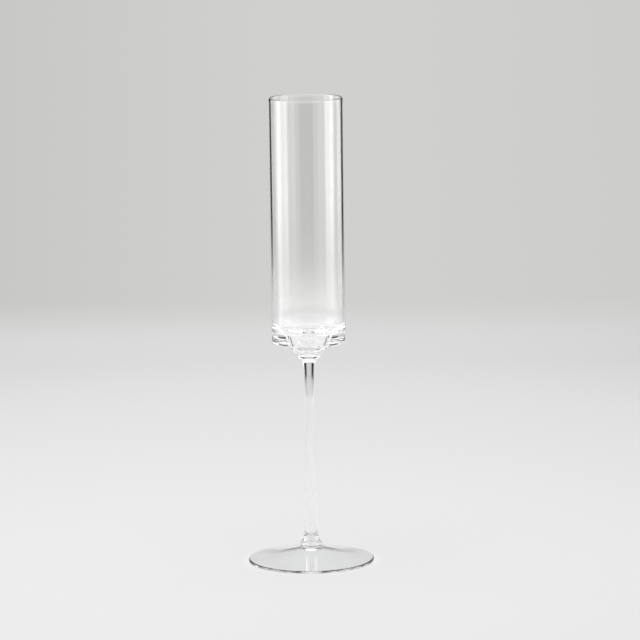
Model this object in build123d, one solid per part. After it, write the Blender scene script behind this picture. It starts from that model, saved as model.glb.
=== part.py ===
from build123d import *
import os

# Champagne flute: a straight-sided blown bowl on a drawn stem and a spun foot.
# Millimetres, +Z up. The origin is the centre of the circle that the foot rests on.
# The three pieces are fused at flat circular faces, so each ends exactly where the next begins.
# Every outline is drawn as (radius, height) and turned about the axis.

# Whole glass
OVERALL_HEIGHT = 267.0
BOWL_RADIUS = 20.95
FOOT_RADIUS = 36.0

# Bowl
RIM_WALL = 0.85  # thickness of the fire-polished rim
BASE_WALL = 1.3  # thickness of the side where it meets the base
FLOOR_HEIGHT = 133.0  # the level ring of floor inside
FLOOR_FLAT = 14.0  # radius at which that ring is level
FLOOR_SWEEP = 8.0  # height in which it turns into the side
LIP_RADIUS = 9.2  # where the floor has turned down into the dimple at its middle
LIP_HEIGHT = 131.9
DIMPLE_RADIUS = 6.45  # lower end of the dimple's straight flank
DIMPLE_FLANK_HEIGHT = 126.2
DIMPLE_BOTTOM = 123.9
HEEL_RADIUS = 2.4  # outside, between the side and the underside
HEEL_BOTTOM = 126.4
BOSS_RADIUS = 6.3  # where the underside meets the stem's button
BOSS_HEIGHT = 119.5

# Stem
BUTTON_END_RADIUS = 4.9  # the button's lower end, where it turns into the neck
BUTTON_END_HEIGHT = 117.2
NECK_RADIUS = 3.45
NECK_HEIGHT = 114.3
WAIST_RADIUS = 2.24
WAIST_HEIGHT = 88.0
SHAFT_RADIUS = 3.45  # the shaft's lower end, just above the drop
SHAFT_HEIGHT = 25.0
DROP_RADIUS = 5.4  # the drop that stands on the foot, above its rounded lower edge
DROP_HEIGHT = 11.6
SEAT_RADIUS = 6.1  # the drop's flat seat on the foot
SEAT_HEIGHT = 7.5

# Foot
FOOT_WALL = 1.45  # thickness of the sloping part
EDGE_THICKNESS = 1.5
EDGE_ROUND = 0.45
REST_INNER_RADIUS = 34.4  # the foot touches the table outside this radius
HOLLOW_HEIGHT = 6.4  # rise of the hollow underneath, on the axis


def lathe(*outline):
    """One solid of revolution about the flute's axis, from the curves of a closed outline."""
    return revolve(Plane.XZ * make_face(outline), axis=Axis.Z)


def bowl():
    """Down the outside, in under the base to the boss, then up the dimple, the floor and the inside."""
    rim_bead = RIM_WALL / 2
    rim_outer = (BOWL_RADIUS, OVERALL_HEIGHT - rim_bead)
    rim_top = (BOWL_RADIUS - rim_bead, OVERALL_HEIGHT)
    rim_inner = (BOWL_RADIUS - RIM_WALL, OVERALL_HEIGHT - rim_bead)
    heel_top = (BOWL_RADIUS, HEEL_BOTTOM + HEEL_RADIUS)
    heel_end = (BOWL_RADIUS - HEEL_RADIUS, HEEL_BOTTOM)
    boss_edge = (BOSS_RADIUS, BOSS_HEIGHT)
    dimple_centre = (0, DIMPLE_BOTTOM)
    dimple_flank = (DIMPLE_RADIUS, DIMPLE_FLANK_HEIGHT)
    lip = (LIP_RADIUS, LIP_HEIGHT)
    floor = (FLOOR_FLAT, FLOOR_HEIGHT)
    side_start = (BOWL_RADIUS - BASE_WALL, FLOOR_HEIGHT + FLOOR_SWEEP)
    return lathe(
        Line(rim_outer, heel_top),
        RadiusArc(heel_top, heel_end, HEEL_RADIUS),
        Bezier(heel_end, (12.5, HEEL_BOTTOM), (9.3, 122.3), boss_edge),
        Polyline(boss_edge, (0, BOSS_HEIGHT), dimple_centre),
        Bezier(dimple_centre, (3.8, DIMPLE_BOTTOM), (5.6, 124.4), dimple_flank),
        Line(dimple_flank, lip),
        Bezier(lip, (9.9, 133.35), (11.0, FLOOR_HEIGHT), floor),
        Bezier(floor, (18.3, FLOOR_HEIGHT), (side_start[0], 135.0), side_start),
        Line(side_start, rim_inner),
        ThreePointArc(rim_inner, rim_top, rim_outer),
    )


def stem():
    """Down from the boss: button, neck, slender waist, shaft and the flared drop on the foot."""
    button_top = (BOSS_RADIUS, BOSS_HEIGHT)
    button_end = (BUTTON_END_RADIUS, BUTTON_END_HEIGHT)
    neck = (NECK_RADIUS, NECK_HEIGHT)
    waist = (WAIST_RADIUS, WAIST_HEIGHT)
    shaft = (SHAFT_RADIUS, SHAFT_HEIGHT)
    drop = (DROP_RADIUS, DROP_HEIGHT)
    seat = (SEAT_RADIUS, SEAT_HEIGHT)
    return lathe(
        Line((0, BOSS_HEIGHT), button_top),
        Bezier(button_top, (6.35, 118.6), (5.8, 117.8), button_end),
        Bezier(button_end, (4.0, 116.6), (3.6, 115.8), neck),
        Bezier(neck, (2.85, 109.0), (WAIST_RADIUS, 100.0), waist),
        Bezier(waist, (WAIST_RADIUS, 72.0), (3.25, 45.0), shaft),
        Bezier(shaft, (3.75, 17.0), (4.2, 14.0), drop),
        Bezier(drop, (6.4, 9.6), (7.0, 8.1), seat),
        Polyline(seat, (0, SEAT_HEIGHT), (0, BOSS_HEIGHT)),
    )


def foot():
    """Out over the upper face, round the edge to the narrow rest, and back along the hollow underside."""
    seat = (SEAT_RADIUS, SEAT_HEIGHT)
    round_start = FOOT_RADIUS - EDGE_ROUND
    upper_round = EDGE_THICKNESS - EDGE_ROUND
    hollow_edge = (6.2, SEAT_HEIGHT - FOOT_WALL)
    return lathe(
        Line((0, SEAT_HEIGHT), seat),
        Bezier(seat, (13.0, 5.5), (24.0, 3.1), (round_start, EDGE_THICKNESS)),
        RadiusArc((round_start, EDGE_THICKNESS), (FOOT_RADIUS, upper_round), EDGE_ROUND),
        Line((FOOT_RADIUS, upper_round), (FOOT_RADIUS, EDGE_ROUND)),
        RadiusArc((FOOT_RADIUS, EDGE_ROUND), (round_start, 0), EDGE_ROUND),
        Line((round_start, 0), (REST_INNER_RADIUS, 0)),
        Bezier((REST_INNER_RADIUS, 0), (23.7, 3.1 - FOOT_WALL), (12.7, 5.5 - FOOT_WALL), hollow_edge),
        Bezier(hollow_edge, (4.2, 6.3), (2.0, HOLLOW_HEIGHT), (0, HOLLOW_HEIGHT)),
        Line((0, HOLLOW_HEIGHT), (0, SEAT_HEIGHT)),
    )


PARTS = {"bowl": bowl(), "stem": stem(), "foot": foot()}

os.makedirs("parts", exist_ok=True)
for name, solid in PARTS.items():
    solid.label = name
    export_step(solid, f"parts/{name}.step")
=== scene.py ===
import math

import bmesh
import bpy
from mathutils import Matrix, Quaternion, Vector, noise


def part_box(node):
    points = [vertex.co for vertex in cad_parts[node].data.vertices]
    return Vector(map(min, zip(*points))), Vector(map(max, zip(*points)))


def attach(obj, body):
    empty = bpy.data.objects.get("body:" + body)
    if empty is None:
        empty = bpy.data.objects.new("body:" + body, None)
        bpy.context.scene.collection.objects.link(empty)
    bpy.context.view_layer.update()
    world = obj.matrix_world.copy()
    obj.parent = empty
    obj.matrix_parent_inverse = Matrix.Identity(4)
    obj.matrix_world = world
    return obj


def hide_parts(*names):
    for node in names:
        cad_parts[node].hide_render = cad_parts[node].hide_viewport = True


# A clear glass champagne flute on a pale studio sweep. Metres, +Z up, in the frame's own axes.
# Each of the three glass pieces is turned on a lathe from its outline, finely enough that light bends
# through it as through real glass, with the slight unevenness of work that is shaped hot.

MM = 0.001
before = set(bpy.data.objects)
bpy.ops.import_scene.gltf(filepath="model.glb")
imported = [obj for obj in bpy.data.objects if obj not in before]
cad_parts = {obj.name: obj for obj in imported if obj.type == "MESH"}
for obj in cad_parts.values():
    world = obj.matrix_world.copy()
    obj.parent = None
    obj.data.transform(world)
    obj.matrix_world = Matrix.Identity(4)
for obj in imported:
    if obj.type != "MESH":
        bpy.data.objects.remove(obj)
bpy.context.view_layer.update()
scene = bpy.context.scene


def placed(name, data):
    """A new object in the scene."""
    made = bpy.data.objects.new(name, data)
    scene.collection.objects.link(made)
    return made


# ---------------------------------------------------------------- sizes, from the frame and in millimetres

bowl_low, bowl_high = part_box("bowl")
stem_low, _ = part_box("stem")
_, foot_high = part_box("foot")

RIM_HEIGHT = bowl_high.z / MM
BOWL_RADIUS = bowl_high.x / MM
BOSS_HEIGHT = bowl_low.z / MM
SEAT_HEIGHT = stem_low.z / MM
FOOT_RADIUS = foot_high.x / MM

RIM_WALL = 0.85  # thickness of the side at the rim
BASE_WALL = 1.3  # and where it meets the base
FLOOR_HEIGHT = BOSS_HEIGHT + 13.5  # the level ring of floor inside
FLOOR_FLAT = 14.0  # radius at which it is level
FLOOR_SWEEP = 8.0  # height in which it turns into the side
LIP = (9.2, BOSS_HEIGHT + 12.4)  # (radius, height) where the floor has turned down into the dimple
DIMPLE_FLANK = (6.45, BOSS_HEIGHT + 6.7)  # lower end of the dimple's straight flank
DIMPLE_BOTTOM = BOSS_HEIGHT + 4.4
HEEL_RADIUS = 2.4  # outside, between the side and the underside
HEEL_BOTTOM = BOSS_HEIGHT + 6.9
BOSS_RADIUS = 6.3  # where the underside meets the stem's button
STEM_BUTTON_END = (4.9, 117.2)  # (radius, height) of this and the next four, from the top down
STEM_NECK = (3.45, 114.3)
STEM_WAIST = (2.24, 88.0)
STEM_SHAFT = (3.45, 25.0)
STEM_DROP = (5.4, 11.6)
SEAT_RADIUS = 6.1  # where the stem's drop stands on the foot
FOOT_WALL = 1.45
EDGE_THICKNESS = 1.5
EDGE_ROUND = 0.45
REST_INNER_RADIUS = 34.4  # the foot touches the table outside this radius
HOLLOW_HEIGHT = 6.4  # rise of the hollow under the foot

# ---------------------------------------------------------------- outlines

# Every outline is drawn as (radius, height). The last argument of each stretch is its number of steps.


def line(start, end, steps=1):
    """Evenly spaced points from start up to, not including, end."""
    return [tuple(a + (b - a) * i / steps for a, b in zip(start, end)) for i in range(steps)]


def bezier(p0, p1, p2, p3, steps):
    """Points of a cubic curve from p0 up to, not including, p3."""
    points = []
    for i in range(steps):
        t = i / steps
        s = 1 - t
        weights = (s**3, 3 * s * s * t, 3 * s * t * t, t**3)
        points.append(tuple(sum(w * p[k] for w, p in zip(weights, (p0, p1, p2, p3))) for k in (0, 1)))
    return points


def arc(centre, radius, start_deg, end_deg, steps):
    """Points of a circular arc, up to, not including, its end."""
    points = []
    for i in range(steps):
        angle = math.radians(start_deg + (end_deg - start_deg) * i / steps)
        points.append((centre[0] + radius * math.cos(angle), centre[1] + radius * math.sin(angle)))
    return points


def bowl_outline():
    """From the boss's centre out along the underside, up the side, over the rim and down the inside."""
    boss_edge = (BOSS_RADIUS, BOSS_HEIGHT)
    heel_end = (BOWL_RADIUS - HEEL_RADIUS, HEEL_BOTTOM)
    heel_top = HEEL_BOTTOM + HEEL_RADIUS
    bead = RIM_WALL / 2
    bead_centre = (BOWL_RADIUS - bead, RIM_HEIGHT - bead)
    side_start = (BOWL_RADIUS - BASE_WALL, FLOOR_HEIGHT + FLOOR_SWEEP)
    floor = (FLOOR_FLAT, FLOOR_HEIGHT)
    seam = line((0, BOSS_HEIGHT), boss_edge, 4)
    glass = bezier(boss_edge, (9.3, BOSS_HEIGHT + 2.8), (12.5, HEEL_BOTTOM), heel_end, 32)
    glass += arc((heel_end[0], heel_top), HEEL_RADIUS, -90, 0, 14)
    glass += line((BOWL_RADIUS, heel_top), (BOWL_RADIUS, bead_centre[1]), 48)
    glass += arc(bead_centre, bead, 0, 180, 14)
    glass += line((BOWL_RADIUS - RIM_WALL, bead_centre[1]), side_start, 48)
    glass += bezier(side_start, (side_start[0], FLOOR_HEIGHT + 2.0), (18.3, FLOOR_HEIGHT), floor, 36)
    glass += bezier(floor, (11.0, FLOOR_HEIGHT), (9.9, FLOOR_HEIGHT + 0.35), LIP, 20)
    glass += line(LIP, DIMPLE_FLANK, 12)
    glass += bezier(DIMPLE_FLANK, (5.6, 124.4), (3.8, DIMPLE_BOTTOM), (0, DIMPLE_BOTTOM), 26)
    glass.append((0, DIMPLE_BOTTOM))
    return [("seam", seam), ("glass", glass)]


def stem_outline():
    """From the drop's seat on the foot, up the flare and the waisted shaft, to the button."""
    seat = (SEAT_RADIUS, SEAT_HEIGHT)
    waist_radius = STEM_WAIST[0]
    button_top = (BOSS_RADIUS, BOSS_HEIGHT)
    lower_seam = line((0, SEAT_HEIGHT), seat, 4)
    glass = bezier(seat, (7.0, SEAT_HEIGHT + 0.6), (6.4, 9.6), STEM_DROP, 24)
    glass += bezier(STEM_DROP, (4.2, 14.0), (3.75, 17.0), STEM_SHAFT, 40)
    glass += bezier(STEM_SHAFT, (3.25, 45.0), (waist_radius, 72.0), STEM_WAIST, 50)
    glass += bezier(STEM_WAIST, (waist_radius, 100.0), (2.85, 109.0), STEM_NECK, 40)
    glass += bezier(STEM_NECK, (3.6, 115.8), (4.0, 116.6), STEM_BUTTON_END, 16)
    glass += bezier(STEM_BUTTON_END, (5.8, 117.8), (6.35, 118.6), button_top, 16)
    upper_seam = line(button_top, (0, BOSS_HEIGHT), 4) + [(0, BOSS_HEIGHT)]
    return [("seam", lower_seam), ("glass", glass), ("seam", upper_seam)]


def foot_outline():
    """From the middle of the hollow underside out to the edge, over it, and in to the stem's seat."""
    edge_inner = FOOT_RADIUS - EDGE_ROUND
    edge_upper = EDGE_THICKNESS - EDGE_ROUND
    rest_inner = (REST_INNER_RADIUS, 0)
    seat = (SEAT_RADIUS, SEAT_HEIGHT)
    hollow_edge = (6.2, SEAT_HEIGHT - FOOT_WALL)
    glass = bezier((0, HOLLOW_HEIGHT), (2.0, HOLLOW_HEIGHT), (4.2, HOLLOW_HEIGHT - 0.1), hollow_edge, 16)
    glass += bezier(hollow_edge, (12.7, 5.5 - FOOT_WALL), (23.7, 3.1 - FOOT_WALL), rest_inner, 60)
    glass += line(rest_inner, (edge_inner, 0), 8)
    glass += arc((edge_inner, EDGE_ROUND), EDGE_ROUND, -90, 0, 10)
    glass += line((FOOT_RADIUS, EDGE_ROUND), (FOOT_RADIUS, edge_upper), 3)
    glass += arc((edge_inner, edge_upper), EDGE_ROUND, 0, 90, 10)
    glass += bezier((edge_inner, EDGE_THICKNESS), (24.0, 3.1), (13.0, 5.5), seat, 70)
    seam = line(seat, (0, SEAT_HEIGHT), 4) + [(0, SEAT_HEIGHT)]
    return [("glass", glass), ("seam", seam)]


# ---------------------------------------------------------------- turning the outlines

AROUND = 384  # steps round the axis
SEAMS = (BOSS_HEIGHT, SEAT_HEIGHT)
AXIS_FADE = 4.0  # the unevenness grows from nothing on the axis to its full depth at this radius
SEAM_FADE = 3.0  # and from nothing at a seam to its full depth this far above or below


def unevenness(depth, wave_around, wave_along, seed):
    """How hot working moves a point of the true outline: inward by at most depth, and not at all on the
    axis or at a seam. The waves are wave_around and wave_along millimetres long."""

    def outward(radius, height, angle):
        across = radius / wave_around
        place = Vector((across * math.cos(angle), across * math.sin(angle), height / wave_along + seed))
        fade = min([1.0, radius / AXIS_FADE] + [abs(height - seam) / SEAM_FADE for seam in SEAMS])
        return -depth * fade * (0.5 + 0.5 * max(-1.0, min(1.0, noise.noise(place))))

    return outward


def strip(mesh, lower, upper):
    """The faces between two rings, either of which may be a single point on the axis."""
    faces = []
    for i in range(AROUND):
        j = (i + 1) % AROUND
        if len(lower) == 1:
            corners = (lower[0], upper[i], upper[j])
        elif len(upper) == 1:
            corners = (lower[i], lower[j], upper[0])
        else:
            corners = (lower[i], lower[j], upper[j], upper[i])
        faces.append(mesh.faces.new(corners))
    return faces


def turned(name, outline, uneven):
    """A closed mesh of revolution. uneven(radius, height, angle) moves a point outward, in millimetres."""
    rings = []
    kinds = []
    for kind, points in outline:
        rings += points
        kinds += [kind] * len(points)
    mesh = bmesh.new()
    rows = []
    for radius, height in rings:
        if radius == 0:
            rows.append([mesh.verts.new((0, 0, height * MM))])
            continue
        row = []
        for i in range(AROUND):
            angle = 2 * math.pi * i / AROUND
            r = radius + uneven(radius, height, angle)
            row.append(mesh.verts.new((r * math.cos(angle) * MM, r * math.sin(angle) * MM, height * MM)))
        rows.append(row)
    for kind, lower, upper in zip(kinds, rows, rows[1:]):
        for face in strip(mesh, lower, upper):
            face.smooth = True
            face.material_index = 1 if kind == "seam" else 0
    bmesh.ops.recalc_face_normals(mesh, faces=mesh.faces)
    for edge in mesh.edges:
        if len({face.material_index for face in edge.link_faces}) > 1:
            edge.smooth = False
    data = bpy.data.meshes.new(name)
    mesh.to_mesh(data)
    mesh.free()
    return placed(name, data)


# ---------------------------------------------------------------- materials

GLASS_INDEX = 1.54
SHADOW_TINT = (0.985, 0.985, 0.985)  # what each face of the glass leaves of the light for the table


def node(tree, kind, **settings):
    """A new node with these settings."""
    made = tree.nodes.new(kind)
    for key, value in settings.items():
        setattr(made, key, value)
    return made


def new_tree(name):
    """A material with an empty node tree that ends in an output."""
    material = bpy.data.materials.new(name)
    material.use_nodes = True
    tree = material.node_tree
    tree.nodes.clear()
    return material, tree, node(tree, "ShaderNodeOutputMaterial")


def ripple(tree, grain):
    """Fine soft waves; grain is how many there are per metre along each axis."""
    place = node(tree, "ShaderNodeTexCoord")
    stretch = node(tree, "ShaderNodeMapping")
    stretch.inputs["Scale"].default_value = grain
    waves = node(tree, "ShaderNodeTexNoise")
    waves.inputs["Scale"].default_value = 1.0
    waves.inputs["Detail"].default_value = 2.0
    tree.links.new(place.outputs["Object"], stretch.inputs["Vector"])
    tree.links.new(stretch.outputs["Vector"], waves.inputs["Vector"])
    return waves.outputs["Fac"]


def spin_rings(tree, grain):
    """Faint rings about the axis, as a spun foot keeps. There are about three times grain per metre."""
    place = node(tree, "ShaderNodeTexCoord")
    rings = node(tree, "ShaderNodeTexWave", wave_type="RINGS", rings_direction="Z")
    rings.inputs["Scale"].default_value = grain
    rings.inputs["Distortion"].default_value = 1.5
    rings.inputs["Detail"].default_value = 2.0
    rings.inputs["Detail Scale"].default_value = 0.3
    tree.links.new(place.outputs["Object"], rings.inputs["Vector"])
    return rings.outputs["Fac"]


def glass(name, tint, relief, grain, depth):
    """Clear glass with a fine relief, depth metres high. It lets light through to the table."""
    material, tree, out = new_tree(name)
    link = tree.links.new
    bump = node(tree, "ShaderNodeBump")
    bump.inputs["Strength"].default_value = 1.0
    bump.inputs["Distance"].default_value = depth
    body = node(tree, "ShaderNodeBsdfPrincipled")
    body.inputs["Base Color"].default_value = (*tint, 1)
    body.inputs["Roughness"].default_value = 0.0
    body.inputs["IOR"].default_value = GLASS_INDEX
    body.inputs["Transmission Weight"].default_value = 1.0
    clear = node(tree, "ShaderNodeBsdfTransparent")
    clear.inputs["Color"].default_value = (*SHADOW_TINT, 1)
    path = node(tree, "ShaderNodeLightPath")
    mix = node(tree, "ShaderNodeMixShader")
    link(relief(tree, grain), bump.inputs["Height"])
    link(bump.outputs["Normal"], body.inputs["Normal"])
    link(path.outputs["Is Shadow Ray"], mix.inputs[0])
    link(body.outputs["BSDF"], mix.inputs[1])
    link(clear.outputs["BSDF"], mix.inputs[2])
    link(mix.outputs["Shader"], out.inputs["Surface"])
    return material


def fused_joint():
    """The face where two pieces of glass are fused: the same glass on both sides, so nothing to see."""
    material, tree, out = new_tree("fused_joint")
    clear = node(tree, "ShaderNodeBsdfTransparent")
    tree.links.new(clear.outputs["BSDF"], out.inputs["Surface"])
    return material


# ---------------------------------------------------------------- the flute

JOINT = fused_joint()
CLEAR = (1.0, 1.0, 1.0)
FAINT_BLUE = (0.985, 0.995, 1.0)
PIECES = {
    "bowl": (
        bowl_outline(),
        unevenness(depth=0.03, wave_around=26.0, wave_along=55.0, seed=3.0),
        glass("bowl_glass", tint=CLEAR, relief=ripple, grain=(60, 60, 20), depth=0.02 * MM),
    ),
    "stem": (
        stem_outline(),
        unevenness(depth=0.02, wave_around=5.0, wave_along=16.0, seed=11.0),
        glass("stem_glass", tint=CLEAR, relief=ripple, grain=(300, 300, 30), depth=0.01 * MM),
    ),
    "foot": (
        foot_outline(),
        unevenness(depth=0.02, wave_around=16.0, wave_along=16.0, seed=23.0),
        glass("foot_glass", tint=FAINT_BLUE, relief=spin_rings, grain=120, depth=0.006 * MM),
    ),
}
for name, (outline, uneven, clear_glass) in PIECES.items():
    piece = turned(name + "_glass", outline, uneven)
    piece.data.materials.append(clear_glass)
    piece.data.materials.append(JOINT)
    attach(piece, "root")
    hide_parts(name)

# ---------------------------------------------------------------- camera

CAMERA_DISTANCE = 2.232  # in front of the glass's axis
CAMERA_HEIGHT = 0.4984
CAMERA_ASIDE = 0.0066  # to the right of it
CAMERA_PITCH = 9.13  # degrees that it looks down
CAMERA_ROLL = -0.7  # degrees
CAMERA_LENS = 223.3  # millimetres, like the sensor's width
SENSOR_WIDTH = 36
SEEN_AS_FAR_AS = 100
camera = placed("camera", bpy.data.cameras.new("camera"))
scene.camera = camera
camera.data.sensor_width = SENSOR_WIDTH
camera.data.lens = CAMERA_LENS
camera.data.clip_end = SEEN_AS_FAR_AS
camera.location = (CAMERA_ASIDE, -CAMERA_DISTANCE, CAMERA_HEIGHT)
camera.rotation_mode = "QUATERNION"
forward = Vector((0, math.cos(math.radians(CAMERA_PITCH)), -math.sin(math.radians(CAMERA_PITCH))))
roll = Quaternion((0, 0, 1), math.radians(CAMERA_ROLL))
camera.rotation_quaternion = forward.to_track_quat("-Z", "Y") @ roll

# ---------------------------------------------------------------- studio

# The whole studio turns with the camera about the glass's axis, as if the glass stood on a turntable, so
# every side of it is seen against the same sweep and in the same light. In the studio's own axes the
# camera is at -Y, and a bearing is counted in degrees from the camera round to +X.
studio = placed("studio", None)
follow = studio.constraints.new("LOCKED_TRACK")
follow.target = camera
follow.track_axis = "TRACK_NEGATIVE_Y"
follow.lock_axis = "LOCK_Z"

TABLE_DROP = 0.0001  # the table lies this far under the foot, so that the two faces never coincide
TABLE_REACH = 3.0
# (distance from the glass, shade): painted light on the table. Palest under the foot, a painted caustic where
# the glass gathers light, then painted shade that darkens the paper far from the glass into the dark of the
# room
TABLE_PAINTED_LIGHT = [
    (0.0, 0.95), (0.033, 0.95), (0.037, 0.85), (0.17, 0.85), (0.33, 0.83), (0.515, 0.803), (0.60, 0.777),
    (0.70, 0.737), (1.02, 0.70), (1.10, 0.50), (1.20, 0.28), (1.35, 0.08), (1.60, 0.03), (2.10, 0.02),
]
# A painted pool of light: a glow added to the table paper beside and in front of the glass, which the lower
# bowl reflects.
PAINTED_POOL = [(0.5, 0.0), (0.75, 0.80), (0.88, 0.98), (1.0, 0.50), (1.12, 0.0)]  # (distance, glow)
PAINTED_POOL_ENDS = (-0.45, -0.15)  # minus the studio's y: no pool below the first, all of it above the second
SWEEP_START = 0.70  # how far behind the glass the sweep leaves the table
SWEEP_BEND = 0.26  # radius of its bend
SWEEP_STEPS = 24
SWEEP_HALF_WIDTH = 0.30
SWEEP_HEIGHT = 1.3
# (distance to the right of the glass's axis, shade): the wall's painted light, darker towards both sides,
# most to the left
WALL_PAINTED_LIGHT = [(-0.30, 0.565), (-0.17, 0.60), (-0.03, 0.632), (0.08, 0.632), (0.30, 0.605)]
WALL_WARMTH = (1.0, 0.995, 0.98)
WALL_BLEND = (0.002, 0.028)  # heights between which the sweep turns from table into wall


def stage_mesh(name, vertices, faces, materials):
    """A smooth mesh of the studio, in the studio's own axes. It is no part of the object."""
    data = bpy.data.meshes.new(name)
    data.from_pydata(vertices, [], faces)
    for material in materials:
        data.materials.append(material)
    for polygon in data.polygons:
        polygon.use_smooth = True
    made = placed(name, data)
    made.parent = studio
    return made


def ribbon(steps):
    """The faces of a band whose vertices come in pairs, one pair for each step and one for the end."""
    return [(2 * k, 2 * k + 1, 2 * k + 3, 2 * k + 2) for k in range(steps)]


def compute(tree, operation, first, second):
    """The result of one operation on two operands, each a number or another node's output."""
    result = node(tree, "ShaderNodeMath", operation=operation)
    for socket, operand in zip(result.inputs, (first, second)):
        if isinstance(operand, float):
            socket.default_value = operand
        else:
            tree.links.new(operand, socket)
    return result.outputs[0]


def shade_ramp(tree, source, stops):
    """A grey that follows the source value through the stops, each a (value, shade)."""
    low, high = stops[0][0], stops[-1][0]
    spread = node(tree, "ShaderNodeMapRange")
    spread.inputs["From Min"].default_value = low
    spread.inputs["From Max"].default_value = high
    ramp = node(tree, "ShaderNodeValToRGB")
    elements = ramp.color_ramp.elements
    while len(elements) < len(stops):
        elements.new(1.0)
    for stop, (value, shade) in zip(elements, stops):
        stop.position = (value - low) / (high - low)
        stop.color = (shade, shade, shade, 1)
    tree.links.new(source, spread.inputs["Value"])
    tree.links.new(spread.outputs[0], ramp.inputs["Fac"])
    return ramp.outputs["Color"]


def rise(tree, source, low, high, top=1.0):
    """A value that goes smoothly from nothing to top while the source goes from low to high."""
    smooth = node(tree, "ShaderNodeMapRange", interpolation_type="SMOOTHSTEP")
    smooth.inputs["From Min"].default_value = low
    smooth.inputs["From Max"].default_value = high
    smooth.inputs["To Max"].default_value = top
    tree.links.new(source, smooth.inputs["Value"])
    return smooth.outputs[0]


def studio_place(tree):
    """The node that splits a point's place in the studio's axes, and its distance from the glass."""
    place = node(tree, "ShaderNodeTexCoord")
    split = node(tree, "ShaderNodeSeparateXYZ")
    distance = node(tree, "ShaderNodeVectorMath", operation="LENGTH")
    tree.links.new(place.outputs["Object"], split.inputs[0])
    tree.links.new(place.outputs["Object"], distance.inputs[0])
    return split, distance.outputs["Value"]


def matt(tree, distance):
    """Matt paper whose colour is painted light: palest under the foot, pale round the glass, and painted
    darker far from it, into the dark of the room.
    """
    body = node(tree, "ShaderNodeBsdfDiffuse")
    tree.links.new(shade_ramp(tree, distance, TABLE_PAINTED_LIGHT), body.inputs["Color"])
    return body.outputs["BSDF"]


def table_paper():
    """The matt paper with its painted light: the painted shade of its colour and a painted pool of glow on
    it.
    """
    material, tree, out = new_tree("table_paper")
    link = tree.links.new
    split, distance = studio_place(tree)
    forwards = compute(tree, "MULTIPLY", split.outputs["Y"], -1.0)
    # the painted pool of light: a glow in the paper itself, not a lamp
    pool = node(tree, "ShaderNodeEmission")
    both = node(tree, "ShaderNodeAddShader")
    link(shade_ramp(tree, distance, PAINTED_POOL), pool.inputs["Color"])
    link(rise(tree, forwards, *PAINTED_POOL_ENDS), pool.inputs["Strength"])
    link(matt(tree, distance), both.inputs[0])
    link(pool.outputs[0], both.inputs[1])
    link(both.outputs[0], out.inputs["Surface"])
    return material


def sweep_paper():
    """The matt paper where the sweep leaves the table, turning a little higher up into a wall whose light is
    painted: it glows, darker towards its left and right sides. The painted pool of light doesn't reach this
    far back."""
    material, tree, out = new_tree("sweep_paper")
    link = tree.links.new
    split, distance = studio_place(tree)
    warm = node(tree, "ShaderNodeVectorMath", operation="MULTIPLY")
    warm.inputs[1].default_value = WALL_WARMTH
    # the wall glows with painted light, darker towards its sides
    glow = node(tree, "ShaderNodeEmission")
    mix = node(tree, "ShaderNodeMixShader")
    link(shade_ramp(tree, split.outputs["X"], WALL_PAINTED_LIGHT), warm.inputs[0])
    link(warm.outputs[0], glow.inputs["Color"])
    link(rise(tree, split.outputs["Z"], *WALL_BLEND), mix.inputs[0])
    link(matt(tree, distance), mix.inputs[1])
    link(glow.outputs[0], mix.inputs[2])
    link(mix.outputs[0], out.inputs["Surface"])
    return material


def build_table():
    """A wide pale table whose painted shade fades it into the dark, with a strip behind the glass that bends
    up into a wall.
    """
    half, reach = SWEEP_HALF_WIDTH, TABLE_REACH
    profile = [(-reach, 0), (SWEEP_START, 0)]
    for k in range(1, SWEEP_STEPS + 1):
        angle = math.radians(90) * k / SWEEP_STEPS
        profile.append((SWEEP_START + SWEEP_BEND * math.sin(angle), SWEEP_BEND * (1 - math.cos(angle))))
    profile.append((SWEEP_START + SWEEP_BEND, SWEEP_HEIGHT))
    vertices = [(side * half, y, z - TABLE_DROP) for y, z in profile for side in (-1, 1)]
    strip_faces = ribbon(len(profile) - 1)
    first = len(vertices)
    for side in (-1, 1):
        vertices += [(side * x, y, -TABLE_DROP) for x in (half, reach) for y in (-reach, reach)]
    sides = [(first, first + 1, first + 3, first + 2), (first + 4, first + 5, first + 7, first + 6)]
    table = stage_mesh("table", vertices, strip_faces + sides, [table_paper(), sweep_paper()])
    for polygon in table.data.polygons[1:len(strip_faces)]:
        polygon.material_index = 1


def glow_only_in_glass(made):
    """The glass shows it; neither the camera nor the table does. It isn't sampled as a light, which leaves
    the samples to the lights that the table sees."""
    made.visible_camera = False
    made.visible_diffuse = False
    made.visible_shadow = False
    for material in made.data.materials:
        material.cycles.emission_sampling = "NONE"


# Seen from the camera, the glass's upright side mirrors a panel at full strength above the upper of these
# two heights and not at all below the lower one. The line of sight goes on down to the panel unchanged.
PANEL_FADE = (0.115, 0.221)
PANEL_HEIGHT = 0.7
PANEL_STEPS = 12
PANELS = {  # name: (bearing of one edge, of the other, distance, radiance)
    "left_key": (-86, -101, 0.5, 3.9),
    "left_key_rear": (-101, -106, 0.5, 2.4),
    "left_rear": (-106, -138, 0.55, 0.7),
    "left_fill": (-61, -86, 0.5, 2.2),
    "right_key": (61, 80, 0.5, 2.1),
    "right_key_rear": (80, 95, 0.5, 1.5),
    "right_gap": (95, 112, 0.55, 0.7),
    "right_rear": (112, 135, 0.55, 1.4),
    "left_front_card": (-36, -58, 0.7, 0.75),
    "right_front_card": (36, 58, 0.7, 0.75),
    "left_far_card": (-22, -36, 0.9, 0.4),
    "right_far_card": (22, 36, 0.9, 0.4),
}


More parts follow.
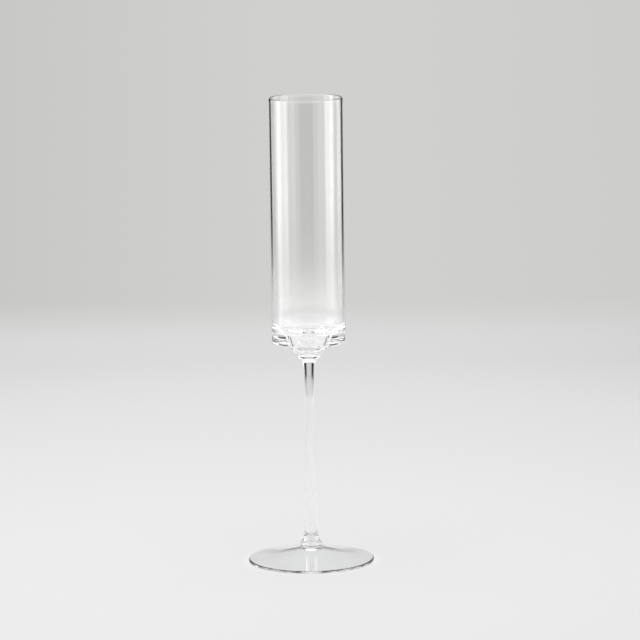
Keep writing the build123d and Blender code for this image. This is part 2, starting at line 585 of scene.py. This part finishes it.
def panel(name, near_deg, far_deg, distance, radiance):
    """An upright curved light between two bearings that adds its glow to what is behind, less and less
    towards the table."""
    vertices = []
    for k in range(PANEL_STEPS + 1):
        bearing = math.radians(near_deg + (far_deg - near_deg) * k / PANEL_STEPS)
        x, y = distance * math.sin(bearing), -distance * math.cos(bearing)
        vertices += [(x, y, 0), (x, y, PANEL_HEIGHT)]
    low, high = (h - distance * (CAMERA_HEIGHT - h) / CAMERA_DISTANCE for h in PANEL_FADE)
    material, tree, out = new_tree(name)
    place = node(tree, "ShaderNodeTexCoord")
    split = node(tree, "ShaderNodeSeparateXYZ")
    clear = node(tree, "ShaderNodeBsdfTransparent")
    glow = node(tree, "ShaderNodeEmission")
    both = node(tree, "ShaderNodeAddShader")
    tree.links.new(place.outputs["Object"], split.inputs[0])
    tree.links.new(rise(tree, split.outputs["Z"], low, high, radiance), glow.inputs["Strength"])
    tree.links.new(clear.outputs[0], both.inputs[0])
    tree.links.new(glow.outputs[0], both.inputs[1])
    tree.links.new(both.outputs[0], out.inputs["Surface"])
    glow_only_in_glass(stage_mesh(name, vertices, ribbon(PANEL_STEPS), [material]))


DOME_RADIUS = 8.0
DOME_ROWS = 12
DOME_COLUMNS = 32
DOME_RADIANCE = 0.75
DOME_EDGE = (8.0, 20.0)  # elevations between which it brightens
DOME_DARK_FACING = (0.45, 0.85)  # cosines of the angle from the camera's side between which it goes dark
DOME_TOP = (45.0, 70.0)  # elevations between which the glow of the light overhead is added
DOME_TOP_RADIANCE = 0.9


def heights(elevations):
    """The heights of some elevations, in degrees, on a ball of radius 1."""
    return [math.sin(math.radians(elevation)) for elevation in elevations]


def build_dome():
    """The pale ceiling and walls of the studio, seen only in the glass; the camera's side stays dark."""
    vertices = [(0, 0, DOME_RADIUS)]
    for i in range(1, DOME_ROWS + 1):
        down = math.radians(90) * i / DOME_ROWS
        for k in range(DOME_COLUMNS):
            turn = 2 * math.pi * k / DOME_COLUMNS
            x, y = math.sin(down) * math.cos(turn), math.sin(down) * math.sin(turn)
            vertices.append((x * DOME_RADIUS, y * DOME_RADIUS, math.cos(down) * DOME_RADIUS))
    faces = [(0, 1 + k, 1 + (k + 1) % DOME_COLUMNS) for k in range(DOME_COLUMNS)]
    for i in range(DOME_ROWS - 1):
        first = 1 + i * DOME_COLUMNS
        for k in range(DOME_COLUMNS):
            a, b = first + k, first + (k + 1) % DOME_COLUMNS
            faces.append((a, a + DOME_COLUMNS, b + DOME_COLUMNS, b))
    material, tree, out = new_tree("dome")
    place = node(tree, "ShaderNodeTexCoord")
    facing = node(tree, "ShaderNodeVectorMath", operation="NORMALIZE")
    split = node(tree, "ShaderNodeSeparateXYZ")
    glow = node(tree, "ShaderNodeEmission")
    tree.links.new(place.outputs["Object"], facing.inputs[0])
    tree.links.new(facing.outputs[0], split.inputs[0])
    towards_camera = compute(tree, "MULTIPLY", split.outputs["Y"], -1.0)
    lit = compute(tree, "SUBTRACT", 1.0, rise(tree, towards_camera, *DOME_DARK_FACING))
    walls = rise(tree, split.outputs["Z"], *heights(DOME_EDGE), DOME_RADIANCE)
    top = rise(tree, split.outputs["Z"], *heights(DOME_TOP), DOME_TOP_RADIANCE)
    total = compute(tree, "ADD", top, compute(tree, "MULTIPLY", walls, lit))
    tree.links.new(total, glow.inputs["Strength"])
    tree.links.new(glow.outputs[0], out.inputs["Surface"])
    glow_only_in_glass(stage_mesh("dome", vertices, faces, [material]))


OVERHEAD_PLACE = (-0.25, -0.3, 2.5)
OVERHEAD_SIZE = 2.5
OVERHEAD_RADIANCE = 4.05


def overhead_light():
    """The soft light above, which lights the table. In the glass the dome's top stands in for it."""
    data = bpy.data.lights.new("overhead", "AREA")
    data.shape = "SQUARE"
    data.size = OVERHEAD_SIZE
    data.energy = OVERHEAD_RADIANCE * math.pi * OVERHEAD_SIZE * OVERHEAD_SIZE
    made = placed("overhead", data)
    made.parent = studio
    made.location = OVERHEAD_PLACE
    made.visible_glossy = False
    made.visible_transmission = False


build_table()
build_dome()
for name, (near_deg, far_deg, distance, radiance) in PANELS.items():
    panel(name, near_deg, far_deg, distance, radiance)
overhead_light()

ROOM_COLOUR = (0.012, 0.012, 0.012, 1)  # what little light the dark of the room holds
world = bpy.data.worlds.new("room")
scene.world = world
world.use_nodes = True
world.node_tree.nodes["Background"].inputs["Color"].default_value = ROOM_COLOUR

# ---------------------------------------------------------------- light paths

scene.view_settings.view_transform = "Standard"
scene.cycles.max_bounces = 32
scene.cycles.transmission_bounces = 32
scene.cycles.glossy_bounces = 16
scene.cycles.transparent_max_bounces = 32
scene.cycles.caustics_reflective = False
scene.cycles.caustics_refractive = False
scene.cycles.use_denoising = True
